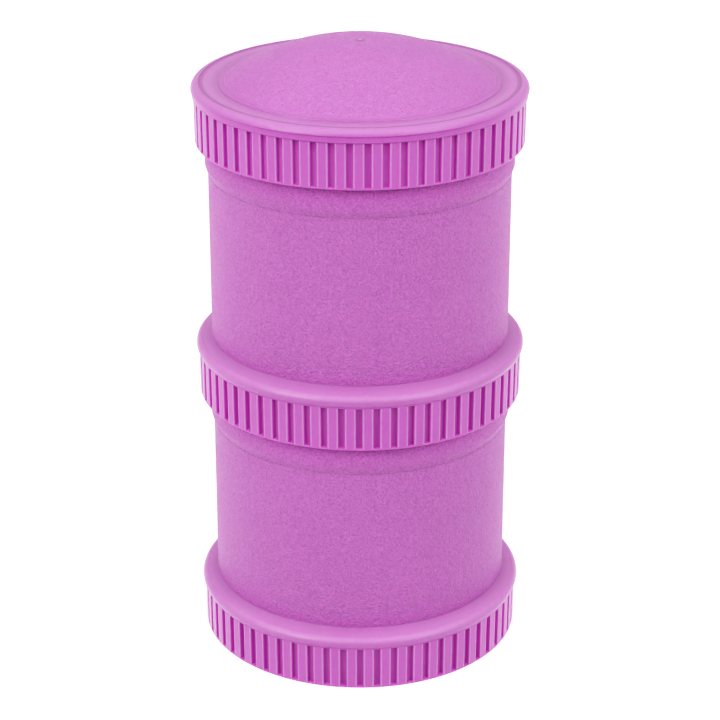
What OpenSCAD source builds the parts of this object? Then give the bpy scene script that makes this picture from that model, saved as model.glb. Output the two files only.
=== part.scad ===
// Toddler snack container: two identical screw pods stacked on each other under a domed screw lid.
// +Z is up. The origin is the centre of the ring that the stack stands on.

/* [Pod wall] */
// Outer diameter of the plain wall
body_d = 74.9; // [60:0.1:100]
// Thickness of the plain wall
wall_t = 2; // [1.6:0.1:2.6]
// Height of the plain wall between the flange and the shoulder
wall_h = 42.7; // [25:0.1:80]
// Thickness of the pod's floor
floor_t = 2; // [1.4:0.1:2.4]
// Radius of the corner inside, between the floor and the wall
floor_round = 3; // [1:0.5:6]
// How much wider the inside is at the mouth than at the floor, as a radius
bore_draft = 0.2; // [0:0.05:0.4]

/* [Shoulder and neck] */
// How far the shoulder stands out from the plain wall
shoulder_out = 0.7; // [0.3:0.1:0.9]
// Height of the slope between the plain wall and the shoulder
shoulder_slope_h = 2.1; // [1:0.1:4]
// Height of the shoulder above that slope
shoulder_h = 5.3; // [3:0.1:8]
// Gap between the shoulder and the skirt screwed down over it
skirt_gap = 0.4; // [0.2:0.1:1]
// Wall of the threaded neck
neck_wall = 1.4; // [1:0.1:1.6]
// Chamfer on the edges of the shoulder and of the neck's rim
edge_chamfer = 0.4; // [0.2:0.1:0.6]

/* [Screw thread] */
// Rise of the thread in one turn
thread_pitch = 4.5; // [4:0.1:5]
// Turns of the ridge on the neck
neck_thread_turns = 1.5; // [1:0.25:1.5]
// Turns of the ridge inside the skirt
skirt_thread_turns = 1.25; // [1:0.25:1.25]
// How far a thread ridge stands out
thread_h = 0.9; // [0.6:0.1:1]
// Width of a thread ridge at its foot
thread_foot_w = 1.9; // [1.6:0.1:2.2]
// Width of a thread ridge at its crest
thread_crest_w = 0.9; // [0.6:0.1:1.2]
// Gap between a ridge's crest and the wall that it runs along
thread_gap = 0.4; // [0.3:0.05:0.5]
// Gap between the loaded flanks of the two ridges
flank_gap = 0.3; // [0.2:0.05:0.4]
// Height of the middle of the neck's ridge above the skirt's foot, where the ridge begins
thread_start = 3.4; // [3.2:0.1:3.6]

/* [Ribbed skirt] */
// Height of the skirt of a pod, below its flange
skirt_h = 11; // [9:0.1:12]
// Height of the skirt of the lid, below its rim
lid_skirt_h = 11.4; // [9:0.1:12]
// Depth inside a skirt, from its foot to the seat that the neck's rim meets
recess_h = 12.4; // [12.2:0.1:14]
// Wall of the skirt behind the grooves
skirt_wall = 1.2; // [1:0.1:2]
// Depth of the grooves of a pod
groove_depth = 1.25; // [0.6:0.05:1.6]
// Depth of the grooves of the lid
lid_groove_depth = 1; // [0.6:0.05:1.6]
// Width of a groove
groove_w = 1.5; // [0.8:0.1:2.4]
// Number of grooves round a skirt
groove_count = 60; // [24:1:72]
// Height of the plain band below the grooves
band_h = 0.5; // [0.3:0.1:1.5]
// How much wider a skirt is at its foot than at its thread, as a radius
foot_relief = 0.3; // [0.1:0.05:0.5]
// Height of that wider foot
foot_relief_h = 1.5; // [0.8:0.1:1.6]

/* [Flange and seal lip] */
// How far a pod's flange stands out from its ribs
flange_out = 0.6; // [0.3:0.1:2]
// Radius of the rounded edge of a pod's flange
flange_round = 1.7; // [1:0.1:1.9]
// Height of the flange's sloped top, up to the plain wall
flange_slope_h = 1.1; // [0.4:0.1:2]
// Depth of the lip that plugs the mouth below
lip_h = 3; // [2:0.5:5]
// Thickness of that lip
lip_t = 1.4; // [1:0.1:1.6]
// Gap between that lip and the mouth around it
lip_gap = 0.3; // [0.2:0.05:0.5]

/* [Lid] */
// How far the lid's band stands out from its ribs
lid_band_out = 0.35; // [0.2:0.05:1]
// Height of the lid's band
lid_band_h = 1.6; // [0.8:0.1:2.2]
// How far the lid's rim stands out from its band
rim_out = 0.3; // [0.1:0.05:1]
// Radius of the rounded edge of the lid's rim
rim_round = 1.65; // [1:0.05:2.2]
// Width of the raised ring along the inside of that edge
rim_ring_w = 0.3; // [0.2:0.1:1]
// Depth of the step from that ring down to the flat of the lid
rim_step = 0.1; // [0.05:0.05:0.3]
// Diameter of the foot of the dome
dome_d = 69; // [60:0.2:70]
// Height of the dome above the flat of the lid
dome_h = 9.84; // [7:0.02:14]
// Height of the small step at the foot of the dome
dome_step = 0.2; // [0.1:0.05:0.4]
// Radius of the hollow curve round the foot of the dome
dome_foot_round = 5; // [3:0.5:20]
// Slope of that curve where it starts, in degrees
dome_foot_slope = 3; // [1:1:12]
// Thickness of the lid at the top of the dome
lid_t = 2; // [1.6:0.1:2.4]
// Width of the flat inside the lid, between its seal lip and the hollow of the dome
dome_shelf = 1.4; // [0.5:0.1:3]

/* [Position at rest] */
// How far the lower pod is turned, in degrees
lower_turn = 0.1; // [-3:0.1:3]
// How far the upper pod is turned, in degrees
upper_turn = -0.3; // [-3:0.1:3]
// How far the lid is turned, in degrees
lid_turn = 2.6; // [-3:0.1:3]

/* [Hidden] */
$fn = 96;
plastic = [0.75, 0.42, 0.72];
lip_plastic = [0.72, 0.38, 0.69];

// Radii, from the inside of the pod out
body_r = body_d / 2;
bore_r = body_r - wall_t;
mouth_r = bore_r + bore_draft;
neck_r = mouth_r + neck_wall;
skirt_bore_r = neck_r + thread_h + thread_gap;
foot_bore_r = skirt_bore_r + foot_relief;
groove_floor_r = skirt_bore_r + skirt_wall;
skirt_r = groove_floor_r + groove_depth;
flange_r = skirt_r + flange_out;
lid_skirt_r = groove_floor_r + lid_groove_depth;
lid_band_r = lid_skirt_r + lid_band_out;
rim_r = lid_band_r + rim_out;
shoulder_r = body_r + shoulder_out;
lip_r = mouth_r - lip_gap;

// Heights, from the foot of a pod or of the lid up
bead_z = skirt_h + flange_round;
flange_top_z = bead_z + flange_round;
wall_z = flange_top_z + flange_slope_h;
shoulder_z = wall_z + wall_h;
shoulder_top_z = shoulder_z + shoulder_slope_h + shoulder_h;
pod_pitch = shoulder_top_z + skirt_gap;
neck_top_z = pod_pitch + recess_h;
floor_z = recess_h + floor_t;
lid_band_z = lid_skirt_h + lid_band_h;
rim_z = lid_band_z + rim_round;
flat_z = rim_z - rim_step;

// Thread: the skirt's ridge runs just below the neck's, with their loaded flanks flank_gap apart.
// It begins skirt_thread_lag degrees further round, clear of the skirt's wider foot.
overlap_h = thread_h - thread_gap;
mid_w = thread_crest_w + (thread_foot_w - thread_crest_w) * overlap_h / 2 / thread_h;
ridge_offset = mid_w + flank_gap;
skirt_thread_lag = 90;
skirt_thread_start = thread_start - ridge_offset + thread_pitch * skirt_thread_lag / 360;
// Depth that a ridge is rooted in its wall, degrees in one of its arcs, degrees that neighbouring arcs
// share, and arcs over which it grows to its full height at each end
ridge_root = 0.5;
ridge_step = 10;
ridge_lap = 0.5;
ridge_fade = 2;

function arc(centre, radius, from, to, steps) = [
    for (i = [0 : steps])
        let (a = from + (to - from) * i / steps)
        centre + radius * [cos(a), sin(a)]
];

function reverse(list) = [for (i = [len(list) - 1 : -1 : 0]) list[i]];

// Outline of a dome from its foot to its top: a hollow curve that runs over into a round crown
function dome(foot_r, foot_z, height, foot_round, slope, steps = 12) =
    let (
        across = foot_r + foot_round * sin(slope),
        up = height + foot_round * (1 - cos(slope)),
        steepest = 2 * atan(up / across),
        crown_r = across / sin(steepest) - foot_round,
        top_z = foot_z + height,
        turn_z = foot_z + foot_round * cos(slope)
    )
    concat(
        arc([across, turn_z], foot_round, -90 - slope, -90 - steepest, steps / 2),
        [for (i = [1 : steps])
            let (a = steepest * (1 - i / steps))
            [crown_r * sin(a), top_z - crown_r * (1 - cos(a))]]
    );

// Helical ridge on a wall of radius wall_r, made of short level arcs that climb from one to the next;
// side is 1 for a ridge that faces out and -1 for one that faces in
module ridge(wall_r, side, start_angle, start_z, turns) {
    steps = round(turns * 360 / ridge_step);
    flare = (thread_foot_w - thread_crest_w) / 2 / thread_h;
    root_r = wall_r - side * ridge_root;
    root_w = thread_foot_w / 2 + flare * ridge_root;
    for (i = [0 : steps - 1]) {
        height = thread_h * min(1, (i + 1) / ridge_fade, (steps - i) / ridge_fade);
        crest_r = wall_r + side * height;
        crest_w = thread_foot_w / 2 - flare * height;
        translate([0, 0, start_z + thread_pitch * ridge_step * i / 360])
            rotate([0, 0, start_angle + ridge_step * i])
                rotate_extrude(angle = ridge_step + ridge_lap)
                    polygon([[root_r, -root_w], [crest_r, -crest_w], [crest_r, crest_w], [root_r, root_w]]);
    }
}

// Grooves between the grip ribs of a skirt
module grooves(skirt_top_z) {
    for (i = [0 : groove_count - 1])
        rotate([0, 0, 360 * i / groove_count - 90])
            translate([groove_floor_r, -groove_w / 2, band_h])
                cube([groove_depth + lid_groove_depth, groove_w, skirt_top_z - band_h]);
}

// Thread ridge inside a skirt
module skirt_thread() {
    ridge(skirt_bore_r, -1, skirt_thread_lag, skirt_thread_start, skirt_thread_turns);
}

// Ring inside a skirt that plugs the mouth below it
module seal_lip() {
    color(lip_plastic)
        rotate_extrude()
            polygon([
                [lip_r - lip_t, recess_h - lip_h],
                [lip_r - edge_chamfer, recess_h - lip_h],
                [lip_r, recess_h - lip_h + edge_chamfer],
                [lip_r, recess_h],
                [lip_r - lip_t, recess_h]
            ]);
}

// One pod, standing at its own foot
module pod() {
    union() {
        difference() {
            rotate_extrude()
                polygon(concat(
                    [
                        [0, recess_h],
                        [skirt_bore_r, recess_h],
                        [skirt_bore_r, foot_relief_h],
                        [foot_bore_r, foot_relief_h],
                        [foot_bore_r, 0],
                        [skirt_r, 0],
                        [skirt_r, skirt_h]
                    ],
                    arc([flange_r - flange_round, bead_z], flange_round,
                        -acos(1 - flange_out / flange_round), 90, 12),
                    [
                        [body_r, wall_z],
                        [body_r, shoulder_z],
                        [shoulder_r, shoulder_z + shoulder_slope_h],
                        [shoulder_r, shoulder_top_z - edge_chamfer],
                        [shoulder_r - edge_chamfer, shoulder_top_z],
                        [neck_r, shoulder_top_z],
                        [neck_r, neck_top_z - edge_chamfer],
                        [neck_r - edge_chamfer, neck_top_z],
                        [mouth_r, neck_top_z]
                    ],
                    arc([bore_r - floor_round, floor_z + floor_round], floor_round, 0, -90, 6),
                    [[0, floor_z]]
                ));
            grooves(skirt_h);
        }
        ridge(neck_r, 1, 0, pod_pitch + thread_start, neck_thread_turns);
        skirt_thread();
    }
}

module lower_pod() {
    color(plastic)
        rotate([0, 0, lower_turn])
            pod();
}

module lower_pod_seal_lip() {
    seal_lip();
}

module upper_pod() {
    color(plastic)
        translate([0, 0, pod_pitch])
            rotate([0, 0, upper_turn])
                pod();
}

module upper_pod_seal_lip() {
    translate([0, 0, pod_pitch])
        seal_lip();
}

// Lid, standing at the foot of its own skirt
module lid_shell() {
    union() {
        difference() {
            rotate_extrude()
                polygon(concat(
                    [
                        [skirt_bore_r, recess_h],
                        [skirt_bore_r, foot_relief_h],
                        [foot_bore_r, foot_relief_h],
                        [foot_bore_r, 0],
                        [lid_skirt_r, 0],
                        [lid_skirt_r, lid_skirt_h],
                        [lid_band_r, lid_skirt_h],
                        [lid_band_r, lid_band_z]
                    ],
                    arc([rim_r - rim_round, lid_band_z], rim_round, 0, 90, 8),
                    [
                        [rim_r - rim_round - rim_ring_w, rim_z],
                        [rim_r - rim_round - rim_ring_w, flat_z],
                        [dome_d / 2, flat_z]
                    ],
                    dome(dome_d / 2, flat_z + dome_step, dome_h - dome_step,
                        dome_foot_round, dome_foot_slope),
                    reverse(dome(lip_r - lip_t - dome_shelf, recess_h,
                        flat_z + dome_h - lid_t - recess_h,
                        dome_foot_round, dome_foot_slope))
                ));
            grooves(lid_skirt_h);
        }
        skirt_thread();
    }
}

module lid() {
    color(plastic)
        translate([0, 0, 2 * pod_pitch])
            rotate([0, 0, lid_turn])
                lid_shell();
}

module lid_seal_lip() {
    translate([0, 0, 2 * pod_pitch])
        seal_lip();
}

lower_pod();
lower_pod_seal_lip();
upper_pod();
upper_pod_seal_lip();
lid();
lid_seal_lip();
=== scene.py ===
"""Toddler snack container: two screw pods stacked under a domed screw lid, moulded in one satin plastic."""

import math

import bmesh
import bpy
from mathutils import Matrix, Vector


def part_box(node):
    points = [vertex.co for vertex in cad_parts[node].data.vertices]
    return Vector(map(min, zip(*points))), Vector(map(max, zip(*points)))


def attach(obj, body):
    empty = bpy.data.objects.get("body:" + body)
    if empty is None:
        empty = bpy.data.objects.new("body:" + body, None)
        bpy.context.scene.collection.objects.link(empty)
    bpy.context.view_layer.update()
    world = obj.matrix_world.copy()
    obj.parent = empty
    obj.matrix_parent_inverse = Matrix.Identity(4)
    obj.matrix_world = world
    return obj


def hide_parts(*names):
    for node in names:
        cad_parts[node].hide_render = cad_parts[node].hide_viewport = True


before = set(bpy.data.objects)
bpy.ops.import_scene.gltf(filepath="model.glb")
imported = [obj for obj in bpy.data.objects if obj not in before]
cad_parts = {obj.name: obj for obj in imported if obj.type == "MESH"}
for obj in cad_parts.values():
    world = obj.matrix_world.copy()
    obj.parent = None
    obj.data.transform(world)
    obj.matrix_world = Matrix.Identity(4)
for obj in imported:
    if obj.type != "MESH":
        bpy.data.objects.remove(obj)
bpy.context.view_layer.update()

MM = 0.001

# Columns round a plain surface, and the angle in degrees of the first one: the middle of a rib, left of
# the front
COLUMNS = 240
RIBS = 60
RIB_PITCH = 360 / RIBS
FIRST_ANGLE = -90 - RIB_PITCH / 2

# Radii in millimetres, from the inside of a pod out, and the walls and gaps between them
BODY_R = 37.45
WALL_T = 2.0
BORE_DRAFT = 0.2
NECK_WALL = 1.4
THREAD_ROOM = 1.3
FOOT_RELIEF = 0.3
SKIRT_WALL = 1.2
LIP_GAP = 0.3
LIP_T = 1.4
BORE_R = BODY_R - WALL_T
MOUTH_R = BORE_R + BORE_DRAFT
NECK_R = MOUTH_R + NECK_WALL
SKIRT_BORE_R = NECK_R + THREAD_ROOM
FOOT_BORE_R = SKIRT_BORE_R + FOOT_RELIEF
GROOVE_FLOOR_R = SKIRT_BORE_R + SKIRT_WALL
LIP_R = MOUTH_R - LIP_GAP

# Heights that they share, from the foot of a skirt up
RECESS_H = 12.4
FOOT_RELIEF_H = 1.5
BAND_H = 0.5
LIP_H = 3.0

# Grooves between the ribs, and the round edges that a mould leaves
GROOVE_W = 1.5
RIB_ROUND = 0.35
GROOVE_CORNER = 0.15
LEDGE_ROUND = 0.15
LEDGE_RISE = 0.02
FOOT_ROUND = 0.3
SKIRT_DRAFT = 0.1

# Width of the painted highlight that pales the edges along a rib's face, and how far grooves run out above
# their top
EDGE_W = 0.25
GROOVE_RUNOUT = 0.08

# Painted light, from -1 to 1: painted shade on the ribs' faces and on the grooves' floors and walls, a paler
# painted sheen on rims, and painted shade in sheltered corners
RIB_PAINTED_SHADE = -0.2
GROOVE_PAINTED_SHADE = -0.4
GROOVE_WALL_PAINTED_SHADE = -0.9
PAINTED_SHEEN = 0.4
PAINTED_CORNER_SHADE = -0.35

# Painted light over the round between a groove's wall and a rib's face: painted shade by the wall, then a
# paler painted highlight along the rib's edge
RIB_ROUND_PAINTED_LIGHT = (-0.3, 0.6, 0.9, 0.8)

# Painted shadow at the top of a groove, under the overhang: how far down it reaches, how much deeper its
# colour is and how much it darkens
TOP_SHADE_H = 3.0
TOP_SHADOW_DEEPEN = 0.6
TOP_SHADOW_DARKEN = 0.3

# Rings that divide a flat floor, and how far from a lip the nearest one lies
FLOOR_RINGS = (12, 24)
LIP_MARGIN = 0.6

# Screw thread. Its ridge fades out over RIDGE_FADE degrees at each end, and has a section about every
# RIDGE_STEP degrees, out of line with the columns of the wall that it stands on
PITCH = 4.5
RIDGE_H = 0.9
RIDGE_FOOT_W = 1.9
RIDGE_CREST_W = 0.9
RIDGE_ROOT = 0.5
RIDGE_FADE = 20
RIDGE_STEP = 4.77

# Section of a ridge, as shares of its half width and of its height, and how deep its fade ends in the wall
RIDGE_SECTION = ((-1, 0.0), (-1, 0.86), (-0.8, 1.0), (0.8, 1.0), (1, 0.86), (1, 0.0))
RIDGE_END_SINK = 0.02


def rounded(corners, steps=4):
    """Points (r, z) of an outline whose corners (r, z, fillet) are rounded off by their fillet."""
    points = []
    for i, (r, z, fillet) in enumerate(corners):
        corner = Vector((r, z))
        if not fillet:
            points.append((r, z))
            continue
        before = (Vector(corners[i - 1][:2]) - corner).normalized()
        after = (Vector(corners[i + 1][:2]) - corner).normalized()
        half = before.angle(after) / 2
        centre = corner + (before + after).normalized() * fillet / math.sin(half)
        start = corner + before * fillet / math.tan(half) - centre
        end = corner + after * fillet / math.tan(half) - centre
        turn = math.atan2(start.x * end.y - start.y * end.x, start.dot(end))
        for k in range(steps + 1):
            a = turn * k / steps
            points.append((
                centre.x + start.x * math.cos(a) - start.y * math.sin(a),
                centre.y + start.x * math.sin(a) + start.y * math.cos(a),
            ))
    return points


def arc(centre, radius, start, end, steps):
    """Points (r, z) of an arc, with its angles in degrees."""
    points = []
    for k in range(steps + 1):
        a = math.radians(start + (end - start) * k / steps)
        points.append((centre[0] + radius * math.cos(a), centre[1] + radius * math.sin(a)))
    return points


def dome(foot_r, foot_z, height, foot_round=5, slope=3, steps=24):
    """Outline of a dome from its foot up to its top: a hollow curve that runs over into a round crown."""
    slope = math.radians(slope)
    across = foot_r + foot_round * math.sin(slope)
    up = height + foot_round * (1 - math.cos(slope))
    steepest = 2 * math.atan(up / across)
    crown_r = across / math.sin(steepest) - foot_round
    turn_z = foot_z + foot_round * math.cos(slope)
    ends = [-90 - math.degrees(a) for a in (slope, steepest)]
    points = arc((across, turn_z), foot_round, *ends, steps // 2)
    for k in range(1, steps + 1):
        a = steepest * (1 - k / steps)
        points.append((crown_r * math.sin(a), foot_z + height - crown_r * (1 - math.cos(a))))
    return points


def valley(outline, middle_r, half_w=0.25, depth=0.1):
    """Points that draw a fine valley into an outline, where its radius is middle_r."""
    points = []
    for across, sink in ((1, 0), (0.5, 0.7), (0, 1), (-0.5, 0.7), (-1, 0)):
        r = middle_r + across * half_w
        outer, inner = next((a, b) for a, b in zip(outline, outline[1:]) if b[0] <= r <= a[0])
        share = (outer[0] - r) / (outer[0] - inner[0])
        points.append((r, outer[1] + share * (inner[1] - outer[1]) - sink * depth))
    return points


def fade(value, start, end):
    """0 at the start, 1 at the end, and even in between."""
    return min(1.0, max(0.0, (value - start) / (end - start)))


def groove_section(depth):
    """Columns across one groove, from the middle of a rib to the next: place, depth and painted light
    (painted shade in the groove, a painted highlight on the rib's edges).
    """
    edge = GROOVE_W / 2
    side = []
    for k in range(3):
        a = math.radians(45 * k)
        tint = GROOVE_PAINTED_SHADE + (GROOVE_WALL_PAINTED_SHADE - GROOVE_PAINTED_SHADE) * k / 2
        across = edge - GROOVE_CORNER * (1 - math.sin(a))
        side.append((across, depth - GROOVE_CORNER * (1 - math.cos(a)), tint))
    for k, tint in enumerate((GROOVE_WALL_PAINTED_SHADE, *RIB_ROUND_PAINTED_LIGHT)):
        a = math.radians(22.5 * k)
        side.append((edge + RIB_ROUND * (1 - math.cos(a)), RIB_ROUND * (1 - math.sin(a)), tint))
    side.append((edge + RIB_ROUND + EDGE_W, 0.0, RIB_PAINTED_SHADE))
    left = [(-x, sink, tint) for x, sink, tint in reversed(side)]
    return left + [(0.0, depth, GROOVE_PAINTED_SHADE)] + side


class Skin:
    """A closed skin that grows ring by ring from one point on the axis to another.

    Each point says how grained the surface is there, from 0 to 1, its painted light, from -1 for painted
    shade in a sheltered corner to 1 for a paler painted highlight on an edge, and how much painted shade
    darkens it in a fine crease or corner, from 0 to 1.
    """

    def __init__(self):
        self.points = []
        self.faces = []
        self.grain = []
        self.tint = []
        self.crease = []
        self.last = None

    def add_point(self, angle, r, z, grain, tint, crease=0.0):
        a = math.radians(angle)
        self.points.append((r * math.cos(a), r * math.sin(a), z))
        self.grain.append(grain)
        self.tint.append(tint)
        self.crease.append(crease)
        return angle, len(self.points) - 1

    def pole(self, z, tint=0.0):
        """A point on the axis, where the skin starts or ends."""
        self.join([self.add_point(0, 0, z, 0.0, tint)])

    def ring(self, r, z, grain=0.0, tint=0.0, crease=0.0):
        """A plain ring."""
        self.join([
            self.add_point(FIRST_ANGLE + 360 * i / COLUMNS, r, z, grain, tint, crease)
            for i in range(COLUMNS)
        ])

    def rings(self, outline, **look):
        """Plain rings, whose grain, painted light and painted shade may be functions of their height."""
        for r, z in outline:
            here = {name: value(z) if callable(value) else value for name, value in look.items()}
            self.ring(r, z, **here)

    def ribbed(self, crest_r, z, section, share, shade):
        """A ring across the ribs, where the grooves have that share of their depth and that much painted
        shadow at their top.
        """
        ring = []
        deepest = max(sink for x, sink, tint in section)
        for rib in range(RIBS):
            middle = FIRST_ANGLE + RIB_PITCH * (rib + 0.5)
            ring.append(self.add_point(middle - RIB_PITCH / 2, crest_r, z, 0.0, RIB_PAINTED_SHADE))
            for x, sink, tint in section:
                r = crest_r - sink * share
                angle = middle + math.degrees(math.asin(x / r))
                # A groove's walls and floor take painted shade, deeper and darker under the painted shadow
                # at its top
                dim = shade * sink / deepest
                here = RIB_PAINTED_SHADE + (tint - RIB_PAINTED_SHADE) * min(1.0, 2 * share) - TOP_SHADOW_DEEPEN * dim
                ring.append(self.add_point(angle, r, z, 0.0, here, TOP_SHADOW_DARKEN * dim))
        self.join(ring)

    def join(self, ring):
        """Faces from the last ring to this one, which may have another number of columns."""
        last = self.last
        self.last = ring
        if last is None:
            return
        if len(last) == 1 or len(ring) == 1:
            tip, rim = (last, ring) if len(last) == 1 else (ring, last)
            for i in range(len(rim)):
                self.faces.append((tip[0][1], rim[i][1], rim[(i + 1) % len(rim)][1]))
            return
        i = j = 0
        while i < len(last) or j < len(ring):
            here, there = last[i % len(last)][1], ring[j % len(ring)][1]
            next_here = last[(i + 1) % len(last)][1]
            next_there = ring[(j + 1) % len(ring)][1]
            angle_here = self.next_angle(last, i)
            angle_there = self.next_angle(ring, j)
            if len(last) == len(ring) or abs(angle_here - angle_there) < 1e-6:
                self.faces.append((here, next_here, next_there, there))
                i += 1
                j += 1
            elif angle_here < angle_there:
                self.faces.append((here, next_here, there))
                i += 1
            else:
                self.faces.append((here, next_there, there))
                j += 1

    @staticmethod
    def next_angle(ring, i):
        """Angle at which the ring's column i ends."""
        if i >= len(ring):
            return math.inf
        if i == len(ring) - 1:
            return ring[0][0] + 360
        return ring[i + 1][0]

    def mesh(self, name):
        mesh = bpy.data.meshes.new(name)
        mesh.from_pydata(self.points, [], self.faces)
        for label, values in (("grain", self.grain), ("tint", self.tint), ("crease", self.crease)):
            mesh.attributes.new(label, "FLOAT", "POINT").data.foreach_set("value", values)
        return mesh


def face_out(mesh):
    """Turns every face outwards."""
    work = bmesh.new()
    work.from_mesh(mesh)
    bmesh.ops.recalc_face_normals(work, faces=work.faces)
    work.to_mesh(mesh)
    work.free()


def ridge_mesh(name, wall_r, side, start_angle, start_z, turns):
    """A thread ridge on a wall: side is 1 where it faces out and -1 where it faces in."""
    skin = Skin()
    flare = (RIDGE_FOOT_W - RIDGE_CREST_W) / 2 / RIDGE_H
    span = 360 * turns
    steps = round(span / RIDGE_STEP)
    sections = []
    for k in range(steps + 1):
        turned = span * k / steps
        rise = min(1.0, turned / RIDGE_FADE, (span - turned) / RIDGE_FADE)
        height = RIDGE_H * math.sin(rise * math.pi / 2) - RIDGE_END_SINK
        section = []
        for across, up in RIDGE_SECTION:
            h = height * up
            half = RIDGE_FOOT_W / 2 - flare * h
            if up == 0:
                h = -RIDGE_ROOT
                half = RIDGE_FOOT_W / 2 + flare * RIDGE_ROOT
            z = start_z + PITCH * (turned - RIDGE_STEP) / 360 + across * half
            section.append(skin.add_point(start_angle + turned, wall_r + side * h, z, 0.0, 0.0)[1])
        sections.append(section)
    count = len(RIDGE_SECTION)
    for near, far in zip(sections, sections[1:]):
        for c in range(count):
            skin.faces.append((near[c], near[(c + 1) % count], far[(c + 1) % count], far[c]))
    skin.faces.append(tuple(reversed(sections[0])))
    skin.faces.append(tuple(sections[-1]))
    mesh = skin.mesh(name)
    face_out(mesh)
    return mesh


def fuse(mesh, extras):
    """One mesh out of a skin and the ridges rooted in it."""
    shell = bpy.data.objects.new("fuse_base", mesh)
    bpy.context.scene.collection.objects.link(shell)
    tools = []
    for extra in extras:
        tool = bpy.data.objects.new("fuse_tool", extra)
        bpy.context.scene.collection.objects.link(tool)
        union = shell.modifiers.new("union", "BOOLEAN")
        union.operation = "UNION"
        union.solver = "EXACT"
        union.object = tool
        tools.append(tool)
    depsgraph = bpy.context.evaluated_depsgraph_get()
    fused = bpy.data.meshes.new_from_object(shell.evaluated_get(depsgraph))
    for o in [shell, *tools]:
        bpy.data.objects.remove(o)
    return fused


def skirt_inside(skin, ceiling_r):
    """The recess of a skirt, from its ceiling down to its foot."""
    skin.rings(rounded([
        (ceiling_r, RECESS_H, 0),
        (SKIRT_BORE_R, RECESS_H, 0.3),
        (SKIRT_BORE_R, FOOT_RELIEF_H, 0.1),
        (FOOT_BORE_R, FOOT_RELIEF_H, 0.1),
        (FOOT_BORE_R, 0, 0.2),
        (GROOVE_FLOOR_R + 0.2, 0, 0),
    ]))


def ribs(skin, crest_r, depth, height, top_shade=0.0):
    """The ribbed outside of a skirt, from its foot up to the top of its grooves, whose tops may get a
    painted shadow.
    """
    section = groove_section(depth)

    def row(z, share, inset=0.0, shade=0.0):
        drafted = crest_r - inset + SKIRT_DRAFT * (z / height - 1)
        skin.ribbed(drafted, z, section, share, shade)

    for k in range(4):
        a = math.radians(30 * k)
        row(FOOT_ROUND * (1 - math.cos(a)), 0.0, FOOT_ROUND * (1 - math.sin(a)))
    for k in range(4):
        a = math.radians(30 * k)
        row(BAND_H - LEDGE_ROUND * (1 - math.sin(a)), LEDGE_ROUND * (1 - math.cos(a)) / depth)
    for k in range(3):
        a = math.radians(45 * k)
        z = BAND_H + LEDGE_RISE + GROOVE_CORNER * (1 - math.cos(a))
        row(z, 1 - GROOVE_CORNER * (1 - math.sin(a)) / depth)
    row(height / 2, 1.0)
    row(height - TOP_SHADE_H, 1.0)
    for share in (1.0, 0.12):
        row(height - (share * 0.02), share, shade=top_shade)
    row(height + GROOVE_RUNOUT, 0.0)


# Pod, in millimetres from its own foot
POD_SKIRT_H = 11.0
POD_GROOVE_DEPTH = 1.25
BEAD_OUT = 0.6
BEAD_ROUND = 1.7
BEAD_SLOPE_H = 1.1
WALL_H = 42.7
SHOULDER_OUT = 0.7
SHOULDER_SLOPE_H = 2.1
SHOULDER_H = 5.3
SKIRT_GAP = 0.4
FLOOR_T = 2.0
FLOOR_ROUND = 3.0
SHOULDER_R = BODY_R + SHOULDER_OUT
POD_CREST_R = GROOVE_FLOOR_R + POD_GROOVE_DEPTH
FLANGE_R = POD_CREST_R + BEAD_OUT
WALL_Z = POD_SKIRT_H + 2 * BEAD_ROUND + BEAD_SLOPE_H
SHOULDER_SLOPE_Z = WALL_Z + WALL_H
SHOULDER_Z = SHOULDER_SLOPE_Z + SHOULDER_SLOPE_H
SHOULDER_TOP_Z = SHOULDER_Z + SHOULDER_H
POD_PITCH = SHOULDER_TOP_Z + SKIRT_GAP
NECK_TOP_Z = POD_PITCH + RECESS_H
FLOOR_TOP_Z = RECESS_H + FLOOR_T

# Where the ridges start, and how many turns they take
NECK_THREAD_Z = POD_PITCH + 3.4
NECK_THREAD_TURNS = 1.5
SKIRT_THREAD_Z = 3.047
SKIRT_THREAD_ANGLE = 90
SKIRT_THREAD_TURNS = 1.25

# Heights of the rings that divide the wall
WALL_RINGS = (24, 30, 38, 46, 54)

# Round of the corner between flange and wall, the fine line below the shoulder, and where the painted shade
# under the skirt above starts on the shoulder
JUNCTION_ROUND = 0.3
LINE_W = 0.14
LINE_SINK = 0.07
SHELTER_Z = SHOULDER_TOP_Z - 3.8


def skirt_ridge():
    start = (SKIRT_THREAD_ANGLE, SKIRT_THREAD_Z)
    return ridge_mesh("skirt_ridge", SKIRT_BORE_R, -1, *start, SKIRT_THREAD_TURNS)


def bead_tint(z):
    """Painted shade over the ribs, a paler painted highlight over the crown of the bead."""
    return PAINTED_CORNER_SHADE + (PAINTED_SHEEN - PAINTED_CORNER_SHADE) * fade(z, POD_SKIRT_H + 0.4, POD_SKIRT_H + 2.4)


def bead_crease(z):
    """Painted shade on the fine line between the ribs and the bead, and on the bead's lower half."""
    line = 0.6 * fade(z, POD_SKIRT_H + 0.35, POD_SKIRT_H + 0.05)
    shade = 0.3 * fade(z, POD_SKIRT_H + 2.2, POD_SKIRT_H)
    return line + shade


def wall_tint(z):
    """A paler painted sheen on the flange, painted shade where the wall meets it and under the skirt above.
    """
    if z < WALL_Z:
        return 1.4 * PAINTED_SHEEN * fade(z, WALL_Z, WALL_Z - 0.5)
    low = 0.5 * fade(z, WALL_Z + 3, WALL_Z + 0.3) * fade(z, WALL_Z, WALL_Z + 0.3)
    high = 0.25 * fade(z, SHOULDER_SLOPE_Z, SHOULDER_Z) + 0.85 * fade(z, SHELTER_Z, SHELTER_Z + 3)
    return PAINTED_CORNER_SHADE * (low + high)


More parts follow.
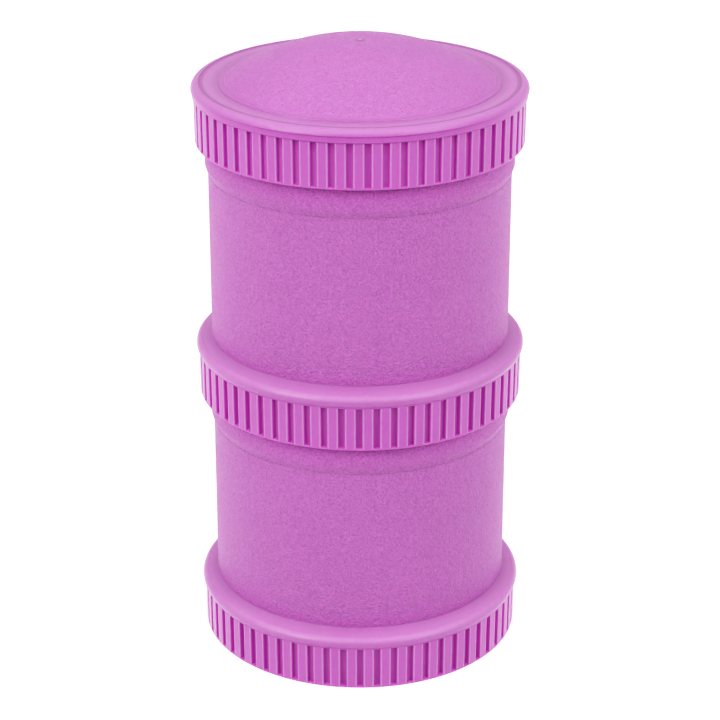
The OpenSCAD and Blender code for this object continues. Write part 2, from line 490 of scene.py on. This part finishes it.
def wall_crease(z):
    """Painted shade on the fine line below the shoulder, over the flange and under the skirt above."""
    low = 0.12 + 0.38 * fade(z, WALL_Z - 0.3, WALL_Z) if z < WALL_Z else 0.5 * fade(z, WALL_Z + 0.9, WALL_Z)
    line = 0.5 * (1 - min(1.0, abs(z - SHOULDER_SLOPE_Z) / (2 * LINE_W)))
    return low + line + 0.4 * fade(z, SHELTER_Z + 1.6, SHELTER_Z + 3)


def wall_grain(z):
    """The texture starts just above the corner between flange and wall."""
    return fade(z, WALL_Z - 0.3, WALL_Z + 0.6)


def pod_mesh():
    """A pod, from the middle of its underside round its outside to the middle of its floor."""
    skin = Skin()
    skin.pole(RECESS_H)
    for r in (*FLOOR_RINGS, LIP_R - LIP_T - LIP_MARGIN):
        skin.ring(r, RECESS_H)
    skirt_inside(skin, LIP_R + LIP_MARGIN)
    ribs(skin, POD_CREST_R, POD_GROOVE_DEPTH, POD_SKIRT_H)
    bead_z = POD_SKIRT_H + BEAD_ROUND
    bead_start = -math.degrees(math.acos(1 - (FLANGE_R - POD_CREST_R) / BEAD_ROUND))
    bead = arc((FLANGE_R - BEAD_ROUND, bead_z), BEAD_ROUND, bead_start, 84, 20)
    skin.rings(bead, tint=bead_tint, crease=bead_crease)
    skin.rings(rounded([
        (FLANGE_R - BEAD_ROUND, bead_z + BEAD_ROUND, 0),
        (BODY_R, WALL_Z, JUNCTION_ROUND),
        (BODY_R, WALL_Z + 1, 0),
    ], steps=6)[:-1], grain=wall_grain, tint=wall_tint, crease=wall_crease)
    line_z = SHOULDER_SLOPE_Z
    wall = [(BODY_R, WALL_Z + z) for z in (0.6, 1, 2, 3, 4)]
    wall += [(BODY_R, z) for z in (*WALL_RINGS, line_z - 0.5)]
    wall += rounded([
        (BODY_R, line_z - 0.5, 0),
        (BODY_R, line_z - LINE_W, 0.05),
        (BODY_R - LINE_SINK, line_z, 0.05),
        (BODY_R + 0.05, line_z + LINE_W, 0.1),
        (SHOULDER_R, SHOULDER_Z, 0.8),
        (SHOULDER_R, SHELTER_Z, 0),
        (SHOULDER_R, SHELTER_Z + 1.1, 0),
        (SHOULDER_R, SHELTER_Z + 2.2, 0),
        (SHOULDER_R, SHOULDER_TOP_Z, 0.4),
        (NECK_R, SHOULDER_TOP_Z, 0),
    ])[1:-1]
    skin.rings(wall, grain=wall_grain, tint=wall_tint, crease=wall_crease)
    skin.rings(rounded([
        (SHOULDER_R, SHOULDER_TOP_Z, 0),
        (NECK_R, SHOULDER_TOP_Z, 0.25),
        (NECK_R, NECK_TOP_Z, 0.4),
        (MOUTH_R, NECK_TOP_Z, 0.3),
        (BORE_R, FLOOR_TOP_Z, FLOOR_ROUND),
        *((r, FLOOR_TOP_Z, 0) for r in reversed(FLOOR_RINGS)),
    ], steps=6)[1:])
    skin.pole(FLOOR_TOP_Z)
    mesh = skin.mesh("pod")
    face_out(mesh)
    neck_ridge = ridge_mesh("neck_ridge", NECK_R, 1, 0, NECK_THREAD_Z, NECK_THREAD_TURNS)
    return fuse(mesh, [neck_ridge, skirt_ridge()])


# Lid, in millimetres from its own foot
LID_GROOVE_DEPTH = 1.0
LID_CREST_R = GROOVE_FLOOR_R + LID_GROOVE_DEPTH
LID_BAND_R = LID_CREST_R + 0.35
LID_RIM_R = LID_BAND_R + 0.3
LID_SKIRT_H = 11.4
LID_BAND_TOP_Z = 13.0
RIM_ROUND = 1.65
RIM_RING_W = 0.3
RIM_STEP = 0.1
DOME_R = 34.5
DOME_H = 9.84
DOME_STEP = 0.2
DOME_SHELF = 1.4
LID_T = 2.0

# The fine groove inside the rim, and the smooth strip round the foot of the dome
STEP_SINK = 0.03
STEP_W = 0.7
DOME_STRIP_W = 1.3

# Looks of the lid's top: the paler painted sheen of its flat ring and of the dome, the dome's grain, and the
# painted shade at its foot
FLAT_PAINTED_SHEEN = 0.28
DOME_PAINTED_SHEEN = 0.05
DOME_GRAIN = 0.75
FOOT_SHADE = 0.3
FOOT_SHADE_W = 2.2

# Gate mark on the dome: a nib in the middle of a shallow dish
GATE_R = 0.5
GATE_H = 0.3
GATE_DISH_R = 1.4
GATE_DISH_H = 0.08


def band_tint(z):
    """Painted shade on the band under the rim, a paler painted sheen on the rim."""
    return -0.25 + 0.5 * fade(z, LID_BAND_TOP_Z, LID_BAND_TOP_Z + 1)


def band_crease(z):
    """Painted shade on the fine lines below and above the band."""
    low = 1.2 * fade(abs(z - LID_SKIRT_H), 0.25, 0.1)
    high = 0.8 * fade(abs(z - LID_BAND_TOP_Z), 0.2, 0.07)
    return max(low, high)


def foot_crease(r):
    """The soft painted shade on the foot of the dome."""
    return FOOT_SHADE * fade(r, DOME_R - FOOT_SHADE_W, DOME_R)


def lid_mesh():
    """The lid, from the middle of its hollow round its outside to the middle of its dome."""
    skin = Skin()
    rim_z = LID_BAND_TOP_Z + RIM_ROUND
    flat_z = rim_z - RIM_STEP
    inner = dome(LIP_R - LIP_T - DOME_SHELF, RECESS_H, flat_z + DOME_H - LID_T - RECESS_H)
    skin.pole(inner[-1][1])
    skin.rings(list(reversed(inner))[1:])
    skirt_inside(skin, LIP_R + LIP_MARGIN)
    ribs(skin, LID_CREST_R, LID_GROOVE_DEPTH, LID_SKIRT_H - GROOVE_RUNOUT, top_shade=1.0)
    skin.rings(rounded([
        (LID_CREST_R, LID_SKIRT_H, 0),
        (LID_BAND_R, LID_SKIRT_H, 0.12),
        (LID_BAND_R, LID_SKIRT_H + 0.25, 0),
        (LID_BAND_R, LID_BAND_TOP_Z - 0.2, 0),
        (LID_BAND_R, LID_BAND_TOP_Z - 0.06, 0.05),
        (LID_RIM_R, LID_BAND_TOP_Z, 0.1),
        (LID_RIM_R, LID_BAND_TOP_Z + 0.3, 0),
    ])[1:-1], tint=band_tint, crease=band_crease)
    ring_r = LID_RIM_R - RIM_ROUND
    skin.rings(arc((ring_r, LID_BAND_TOP_Z), RIM_ROUND, 8, 90, 16), tint=band_tint)
    shell = dome(DOME_R, flat_z + DOME_STEP, DOME_H - DOME_STEP)
    step_r = ring_r - RIM_RING_W

    # From the rim's inner edge over the fine groove and the flat ring to the dome's foot, with painted shade
    # in the fine groove and round the dome's foot, and a paler painted sheen on the ring
    for r, z, crease in (
        (step_r, rim_z, 0.3),
        (step_r - 0.08, flat_z - STEP_SINK, 0.65),
        (step_r - STEP_W, flat_z - STEP_SINK, 0.65),
        (step_r - STEP_W - 0.08, flat_z, 0.6),
        (step_r - STEP_W - 0.3, flat_z, 0.4),
        (step_r - STEP_W - 0.6, flat_z, 0.0),
        (DOME_R + 2.2, flat_z, 0.0),
        (DOME_R + 1.4, flat_z, 0.2),
        (DOME_R + 0.6, flat_z, 0.38),
        (DOME_R + 0.25, flat_z - 0.02, 0.4),
        (DOME_R, flat_z - 0.02, 0.25),
        (DOME_R - 0.05, flat_z + DOME_STEP, FOOT_SHADE),
    ):
        skin.ring(r, z, 0.0, FLAT_PAINTED_SHEEN, crease)

    # The smooth strip, a fine line, and the grained dome, with painted shade on the dome's foot and in the
    # fine line
    strip = [p for p in shell[1:] if DOME_R - 0.1 > p[0] > DOME_R - DOME_STRIP_W + 0.25]
    for r, z in strip:
        skin.ring(r, z, 0.0, DOME_PAINTED_SHEEN, foot_crease(r))
    line = valley(shell, DOME_R - DOME_STRIP_W)
    for (r, z), crease in zip(line, (0.0, 0.1, 0.2, 0.1, 0.0)):
        skin.ring(r, z, 0.0, DOME_PAINTED_SHEEN, foot_crease(r) + crease)
    for r, z in shell:
        if GATE_DISH_R * 2 < r < DOME_R - DOME_STRIP_W - 0.4:
            skin.ring(r, z, DOME_GRAIN, DOME_PAINTED_SHEEN, foot_crease(r))

    # The gate mark, with painted shade round its foot and a paler painted highlight on its nib
    top = shell[-1][1]
    gate_z = top - GATE_DISH_H
    for r, z, tint, crease in (
        (GATE_DISH_R * 1.5, top - 0.02, DOME_PAINTED_SHEEN, 0.0),
        (GATE_DISH_R, gate_z, DOME_PAINTED_SHEEN, 0.3),
        (GATE_R * 1.5, gate_z, 0.0, 0.6),
        (GATE_R, gate_z + 0.04, 0.0, 0.8),
        (GATE_R * 0.8, gate_z + GATE_H * 0.9, 1.0, 0.0),
        (GATE_R * 0.5, gate_z + GATE_H, 1.0, 0.0),
    ):
        skin.ring(r, z, 0.0, tint, crease)
    skin.pole(gate_z + GATE_H, tint=1.0)
    mesh = skin.mesh("lid")
    face_out(mesh)
    return fuse(mesh, [skirt_ridge()])


def lip_mesh():
    """The ring that plugs the mouth below it, closed on itself."""
    skin = Skin()
    low = RECESS_H - LIP_H
    outline = rounded([
        (LIP_R - LIP_T, RECESS_H, 0),
        (LIP_R - LIP_T, low, 0.3),
        (LIP_R, low, 0.4),
        (LIP_R, RECESS_H, 0),
    ])
    skin.rings(outline)
    count = COLUMNS
    first = len(skin.points) - count
    for i in range(count):
        skin.faces.append((first + i, first + (i + 1) % count, (i + 1) % count, i))
    mesh = skin.mesh("lip")
    face_out(mesh)
    return mesh


# Materials

# Colours of the plastic at painted light -1, 0 and 1: deeper where painted shade falls, plain, and paler
# under a painted highlight
PAINTED_SHADE_ORCHID = (0.7, 0.1, 0.62)
ORCHID = (0.6, 0.215, 0.57)
PAINTED_SHEEN_ORCHID = (0.68, 0.36, 0.64)

SPECULAR_LEVEL = 0.64
SATIN = 0.36
DULL = 0.55

# How much of the light goes into the plastic, and how far it spreads there: green is soon swallowed
SCATTER_WEIGHT = 0.6
SCATTER_RADIUS = (1.0, 0.3, 0.9)
SCATTER_MM = 0.7

# Width of the grain and of the softer bumps under it, how deep they are, the bumps' share, and the share
# that is left of both where the mould was polished
GRAIN_MM = 0.48
BLOTCH_MM = 1.2
GRAIN_DEPTH = 0.48
BLOTCH_SHARE = 0.8
RIPPLE_SHARE = 0.06

# How far the brightness goes up and down: with the grain's pits, and in wide clouds that the melt left
PIT_SHADE = 0.16
CLOUD_MM = 28.0
CLOUD_SHADE = 0.02

# How ragged the grain's border is, how much the gloss varies, and how much of the colour's brightness the
# painted shade in creases and corners swallows
BORDER_RAG = 0.15
SMEAR = 0.03
PAINTED_SHADE_DEPTH = 0.4

# Angle in degrees past which an edge is drawn sharp
SHARP_ANGLE = 40


def new_node(tree, kind, place, **values):
    node = tree.nodes.new(kind)
    node.location = place
    for name, value in values.items():
        if name.startswith("set_"):
            setattr(node, name[4:], value)
        else:
            node.inputs[name.replace("_", " ")].default_value = value
    return node


def noise(tree, place, features_mm):
    """Noise whose features are about that many millimetres across."""
    coords = tree.nodes["coords"]
    scale = 1 / (features_mm * MM)
    node = new_node(tree, "ShaderNodeTexNoise", place, Scale=scale, Detail=2.0, Roughness=0.55)
    tree.links.new(coords.outputs["Object"], node.inputs["Vector"])
    return node.outputs["Fac"]


def math_node(tree, place, operation, a, b):
    node = new_node(tree, "ShaderNodeMath", place, set_operation=operation)
    for socket, value in zip(node.inputs, (a, b)):
        if isinstance(value, bpy.types.NodeSocket):
            tree.links.new(value, socket)
        else:
            socket.default_value = value
    return node.outputs[0]


def map_range(tree, place, value, low, high, to_low, to_high):
    node = new_node(tree, "ShaderNodeMapRange", place)
    for name, bound in (("From Min", low), ("From Max", high), ("To Min", to_low), ("To Max", to_high)):
        node.inputs[name].default_value = bound
    tree.links.new(value, node.inputs["Value"])
    return node.outputs["Result"]


def spread(tree, place, value, reach):
    """A noise's value, spread from -reach to reach."""
    return map_range(tree, place, value, 0.3, 0.7, -reach, reach)


def orchid_plastic(name):
    """Satin plastic that lets a little light in, grained where the mould was textured."""
    material = bpy.data.materials.new(name)
    material.use_nodes = True
    tree = material.node_tree
    shader = tree.nodes["Principled BSDF"]
    shader.inputs["IOR"].default_value = 1.5
    shader.inputs["Specular IOR Level"].default_value = SPECULAR_LEVEL
    shader.inputs["Subsurface Weight"].default_value = SCATTER_WEIGHT
    shader.inputs["Subsurface Radius"].default_value = SCATTER_RADIUS
    shader.inputs["Subsurface Scale"].default_value = SCATTER_MM * MM
    coords = new_node(tree, "ShaderNodeTexCoord", (-1400, 0))
    coords.name = "coords"
    grain = new_node(tree, "ShaderNodeAttribute", (-1600, -300), set_attribute_name="grain").outputs["Fac"]
    # Painted light (deeper in painted shade, paler in painted highlights) and painted shade in creases and
    # corners, carried by the mesh
    tint = new_node(tree, "ShaderNodeAttribute", (-1600, 300), set_attribute_name="tint").outputs["Fac"]
    crease = new_node(tree, "ShaderNodeAttribute", (-1600, 0), set_attribute_name="crease").outputs["Fac"]

    fine = noise(tree, (-1200, -100), GRAIN_MM)
    blotch = noise(tree, (-1200, -350), BLOTCH_MM)
    flow = noise(tree, (-1200, 150), CLOUD_MM)

    # The texture ends at a ragged border
    ragged = spread(tree, (-1400, -450), blotch, BORDER_RAG)
    border = math_node(tree, (-1250, -500), "ADD", grain, ragged)
    border = map_range(tree, (-1100, -500), border, 0.35, 0.65, 0.0, 1.0)
    grain = math_node(tree, (-950, -500), "MULTIPLY", border, grain)

    # Brightness: the grain's pits are darker, painted shade darkens creases and corners, and the melt left
    # faint clouds
    pits = spread(tree, (-950, -100), fine, PIT_SHADE)
    pits = math_node(tree, (-750, -100), "MULTIPLY", pits, grain)
    clouds = spread(tree, (-950, 150), flow, CLOUD_SHADE)
    spots = spread(tree, (-950, -350), blotch, CLOUD_SHADE)
    tone = math_node(tree, (-550, 0), "ADD", pits, clouds)
    tone = math_node(tree, (-350, 0), "ADD", tone, spots)
    painted_shade_factor = map_range(tree, (-350, 150), crease, 0.0, 1.0, 1.0, 1.0 - PAINTED_SHADE_DEPTH)
    tone = math_node(tree, (-150, 0), "ADD", tone, painted_shade_factor)

    # Colour, by the painted light there: deeper in painted shade, paler under painted highlights
    share = map_range(tree, (-750, 300), tint, -1.0, 1.0, 0.0, 1.0)
    ramp = new_node(tree, "ShaderNodeValToRGB", (-550, 300))
    stops = ramp.color_ramp.elements
    stops.new(0.5)
    for stop, colour in zip(stops, (PAINTED_SHADE_ORCHID, ORCHID, PAINTED_SHEEN_ORCHID)):
        stop.color = (*colour, 1)
    tree.links.new(share, ramp.inputs["Fac"])
    colour = new_node(tree, "ShaderNodeVectorMath", (50, 200), set_operation="SCALE")
    tree.links.new(ramp.outputs["Color"], colour.inputs[0])
    tree.links.new(tone, colour.inputs["Scale"])
    tree.links.new(colour.outputs[0], shader.inputs["Base Color"])

    # Gloss: satin where the mould was polished, dull where it was textured
    dull = map_range(tree, (-350, -300), grain, 0.0, 1.0, SATIN, DULL)
    smear = spread(tree, (-350, -500), flow, SMEAR)
    rough = math_node(tree, (-150, -300), "ADD", dull, smear)
    tree.links.new(rough, shader.inputs["Roughness"])

    # Relief about its mean height: the grain, with softer bumps under it, and only a faint ripple where
    # the mould was polished
    soft = math_node(tree, (-950, -800), "MULTIPLY", blotch, BLOTCH_SHARE)
    relief = math_node(tree, (-750, -800), "ADD", fine, soft)
    relief = math_node(tree, (-550, -700), "SUBTRACT", relief, (1 + BLOTCH_SHARE) / 2)
    depth = map_range(tree, (-750, -600), grain, 0.0, 1.0, RIPPLE_SHARE, 1.0)
    relief = math_node(tree, (-350, -700), "MULTIPLY", relief, depth)
    bump = new_node(tree, "ShaderNodeBump", (0, -700), Strength=1.0, Distance=GRAIN_DEPTH * MM)
    tree.links.new(relief, bump.inputs["Height"])
    tree.links.new(bump.outputs["Normal"], shader.inputs["Normal"])
    return material


def place(name, mesh, material, foot_z, turn, body, node, slot):
    """Puts a copy of a mesh, in millimetres from its own foot, where its node is."""
    mesh = mesh.copy()
    mesh.name = name
    turn = math.radians(turn)
    points = [0.0] * (3 * len(mesh.vertices))
    mesh.vertices.foreach_get("co", points)
    for i in range(0, len(points), 3):
        x, y, z = points[i:i + 3]
        points[i] = (x * math.cos(turn) - y * math.sin(turn)) * MM
        points[i + 1] = (x * math.sin(turn) + y * math.cos(turn)) * MM
        points[i + 2] = z * MM + foot_z
    mesh.vertices.foreach_set("co", points)
    mesh.materials.clear()
    mesh.materials.append(material)
    mesh.polygons.foreach_set("use_smooth", [True] * len(mesh.polygons))
    mesh.set_sharp_from_angle(angle=math.radians(SHARP_ANGLE))
    mesh.update()
    piece = bpy.data.objects.new(name, mesh)
    bpy.context.scene.collection.objects.link(piece)
    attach(piece, body)
    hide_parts(node)
    return piece


def build_container():
    pod_plastic = orchid_plastic("orchid_pod_plastic")
    lid_plastic = orchid_plastic("orchid_lid_plastic")
    lip_plastic = orchid_plastic("orchid_lip_plastic")
    pod = pod_mesh()
    lid = lid_mesh()
    lip = lip_mesh()
    lower_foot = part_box("lower_pod")[0].z
    upper_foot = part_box("upper_pod")[0].z
    lid_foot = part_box("lid")[0].z
    place("lower_pod_shell", pod, pod_plastic, lower_foot, 0.1, "lower_pod", "lower_pod", "pod_plastic")
    place("upper_pod_shell", pod, pod_plastic, upper_foot, -0.3, "upper_pod", "upper_pod", "pod_plastic")
    place("lid_shell", lid, lid_plastic, lid_foot, 2.6, "lid", "lid", "lid_plastic")
    for host, foot_z, body in (
        ("lower_pod", lower_foot, "lower_pod"),
        ("upper_pod", upper_foot, "upper_pod_seat"),
        ("lid", lid_foot, "lid_seat"),
    ):
        place(host + "_lip", lip, lip_plastic, foot_z, 0, body, host + "_seal_lip", "lip_plastic")


# Studio

CAMERA_DISTANCE = 0.5991
CAMERA_ELEVATION = 23.291
CAMERA_TARGET_Z = 0.07237
CAMERA_LENS = 117.32
SENSOR_WIDTH = 36

FLOOR_Z = -0.00005
FLOOR_R = 4
FLOOR_SIDES = 64
FLOOR_GLOW = 0.45
BACKDROP = 0.95

# Light of the surroundings at these heights, each the sine of its angle above the horizon: in front of the
# object, which has a broad light overhead, and behind it, where the pale table reaches far back
LIGHT_HEIGHTS = (-1, -0.6, -0.3, -0.08, 0.08, 0.3, 0.55, 0.8, 1)
FRONT_LIGHT = (0.75, 0.45, 0.15, 0, 0, 0.4, 1.0, 1.45, 1.5)
BACK_LIGHT = (1.8, 1.65, 1.4, 0.95, 0.5, 0.4, 0.35, 0.4, 0.6)
BRIGHTEST = 2.0

# Two soft boxes in front, one on each side: where they stand, how large they are, and their power in watts
BOX_ACROSS = 0.73
BOX_AHEAD = 0.68
BOX_Z = 0.5
BOX_SIZE = 0.6
LEFT_POWER = 3.3
RIGHT_POWER = 2.4
BOX_AIM = (0, 0, 0.08)

# How much contrast the picture gains, as a camera's own tone curve gives it
CONTRAST = 0.45


def camera():
    e = math.radians(CAMERA_ELEVATION)
    data = bpy.data.cameras.new("camera")
    data.sensor_width = SENSOR_WIDTH
    data.lens = CAMERA_LENS
    data.clip_start = 0.05
    data.clip_end = 50
    eye = bpy.data.objects.new("camera", data)
    eye.location = (0, -CAMERA_DISTANCE * math.cos(e), CAMERA_TARGET_Z + CAMERA_DISTANCE * math.sin(e))
    eye.rotation_euler = (math.pi / 2 - e, 0, 0)
    bpy.context.scene.collection.objects.link(eye)
    bpy.context.scene.camera = eye


def floor():
    """A pale floor. It sends no light back to the object, which gets the studio's own light from below."""
    material = bpy.data.materials.new("studio_floor")
    material.use_nodes = True
    shader = material.node_tree.nodes["Principled BSDF"]
    shader.inputs["Base Color"].default_value = (0.9, 0.9, 0.9, 1)
    shader.inputs["Roughness"].default_value = 0.9
    shader.inputs["Specular IOR Level"].default_value = 0
    shader.inputs["Emission Color"].default_value = (1, 1, 1, 1)
    shader.inputs["Emission Strength"].default_value = FLOOR_GLOW
    mesh = bpy.data.meshes.new("studio_floor")
    angles = [math.tau * i / FLOOR_SIDES for i in range(FLOOR_SIDES)]
    rim = [(FLOOR_R * math.cos(a), FLOOR_R * math.sin(a), FLOOR_Z) for a in angles]
    mesh.from_pydata(rim, [], [tuple(range(FLOOR_SIDES))])
    mesh.materials.append(material)
    ground = bpy.data.objects.new("studio_floor", mesh)
    ground.visible_diffuse = False
    ground.visible_glossy = False
    ground.visible_transmission = False
    ground.visible_shadow = False
    bpy.context.scene.collection.objects.link(ground)


def soft_box(name, side, power):
    """A square light: side is -1 on the left and 1 on the right."""
    data = bpy.data.lights.new(name, "AREA")
    data.shape = "SQUARE"
    data.size = BOX_SIZE
    data.energy = power
    lamp = bpy.data.objects.new(name, data)
    lamp.location = (side * BOX_ACROSS, -BOX_AHEAD, BOX_Z)
    lamp.rotation_euler = (Vector(BOX_AIM) - lamp.location).to_track_quat("-Z", "Y").to_euler()
    bpy.context.scene.collection.objects.link(lamp)


def light_ramp(tree, place, height, levels):
    """Level of the light at a height, from the levels at LIGHT_HEIGHTS."""
    ramp = new_node(tree, "ShaderNodeValToRGB", place)
    stops = ramp.color_ramp.elements
    while len(stops) < len(levels):
        stops.new(0.5)
    for stop, z, level in zip(stops, LIGHT_HEIGHTS, levels):
        stop.position = (z + 1) / 2
        stop.color = (*[level / BRIGHTEST] * 3, 1)
    tree.links.new(height, ramp.inputs["Fac"])
    return ramp.outputs["Color"]


def surroundings():
    """Soft light from all round. The camera itself sees a plain pale backdrop beyond the floor."""
    world = bpy.data.worlds.new("studio")
    bpy.context.scene.world = world
    world.use_nodes = True
    tree = world.node_tree
    light = tree.nodes["Background"]
    coords = new_node(tree, "ShaderNodeTexCoord", (-1100, 0))
    split = new_node(tree, "ShaderNodeSeparateXYZ", (-900, 0))
    tree.links.new(coords.outputs["Generated"], split.inputs[0])
    height = map_range(tree, (-700, 100), split.outputs["Z"], -1, 1, 0, 1)
    behind = map_range(tree, (-700, -200), split.outputs["Y"], -1, 1, 0, 1)
    blend = new_node(tree, "ShaderNodeMix", (-200, 0), set_data_type="RGBA")
    colours = [socket for socket in blend.inputs if socket.type == "RGBA"]
    tree.links.new(behind, blend.inputs["Factor"])
    tree.links.new(light_ramp(tree, (-500, 200), height, FRONT_LIGHT), colours[0])
    tree.links.new(light_ramp(tree, (-500, -50), height, BACK_LIGHT), colours[1])
    tree.links.new(next(socket for socket in blend.outputs if socket.type == "RGBA"), light.inputs["Color"])
    light.inputs["Strength"].default_value = BRIGHTEST
    backdrop = new_node(tree, "ShaderNodeBackground", (0, -200), Color=(BACKDROP, BACKDROP, BACKDROP, 1))
    rays = new_node(tree, "ShaderNodeLightPath", (0, 400))
    either = new_node(tree, "ShaderNodeMixShader", (250, 0))
    tree.links.new(rays.outputs["Is Camera Ray"], either.inputs[0])
    tree.links.new(light.outputs[0], either.inputs[1])
    tree.links.new(backdrop.outputs[0], either.inputs[2])
    tree.links.new(either.outputs[0], tree.nodes["World Output"].inputs["Surface"])


def linear(shown):
    """The light behind a shown brightness from 0 to 1."""
    return shown / 12.92 if shown <= 0.04045 else ((shown + 0.055) / 1.055) ** 2.4


def tone_curve():
    """Darker shadows and brighter lights, as a camera draws them."""
    view = bpy.context.scene.view_settings
    view.view_transform = "Standard"
    view.use_curve_mapping = True
    curve = view.curve_mapping.curves[3]
    steps = 12
    for k in range(1, steps):
        shown = k / steps
        curve.points.new(linear(shown), linear(shown - CONTRAST * math.sin(math.tau * shown) / math.tau))
    view.curve_mapping.update()


def studio():
    surroundings()
    soft_box("left_box", -1, LEFT_POWER)
    soft_box("right_box", 1, RIGHT_POWER)
    tone_curve()
    floor()
    camera()


studio()
build_container()
